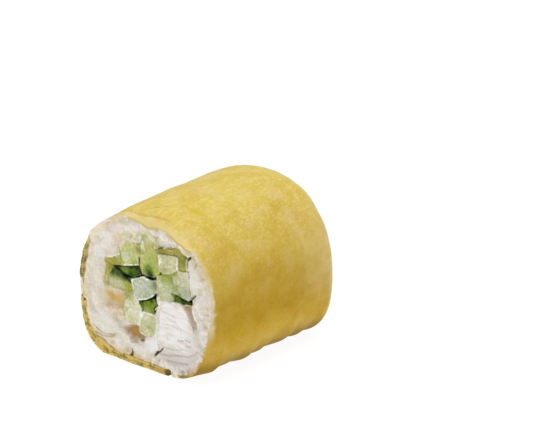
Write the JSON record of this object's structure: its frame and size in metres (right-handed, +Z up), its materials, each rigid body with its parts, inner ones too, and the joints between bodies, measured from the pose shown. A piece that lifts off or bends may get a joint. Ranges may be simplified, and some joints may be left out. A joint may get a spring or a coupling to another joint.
{
  "type": "cucumber and cream cheese roll sushi",
  "caption": "Thick roll sushi lying on its side: a thin yellow sheet round rice, with cucumber sticks and a block of cream cheese running through it.",
  "frame": {"origin": "centre of the bottom of the bounding box, on the surface that the roll lies on", "axes": "+Z is up; Y is the roll's axis, and its front cut face looks towards -Y; +X is to the right, seen from the front cut face"},
  "size_m": [0.0304, 0.0314, 0.0282],
  "materials": {
    "sheet": "satin, moist soft sheet",
    "rice": "moist, slightly glossy",
    "cream_cheese": "matte, smeared",
    "cucumber_flesh": "wet",
    "cucumber_green": "wet",
    "cucumber_rind_flesh": "wet",
    "cucumber_rind": "wet"
  },
  "bodies": {
    "root": {"wrapper": "sheet", "rice": "rice", "cream_cheese": "cream_cheese", "cucumber_upper_left": "cucumber_flesh", "cucumber_left_band": "cucumber_rind_flesh", "cucumber_left_shard": "cucumber_rind_flesh", "cucumber_dark_wedge": "cucumber_rind", "cucumber_round_top": "cucumber_green", "cucumber_striped": "cucumber_flesh", "cucumber_top_band": "cucumber_rind_flesh", "cucumber_right_band": "cucumber_rind_flesh", "cucumber_top": "cucumber_flesh", "cucumber_top_shard": "cucumber_flesh", "cucumber_right": "cucumber_flesh", "cucumber_middle_right": "cucumber_flesh", "cucumber_middle": "cucumber_flesh", "cucumber_left": "cucumber_green", "cucumber_right_sliver": "cucumber_rind", "cucumber_green_bar": "cucumber_green", "cucumber_lower": "cucumber_flesh", "cucumber_lower_left": "cucumber_flesh"}
  },
  "joints": []
}
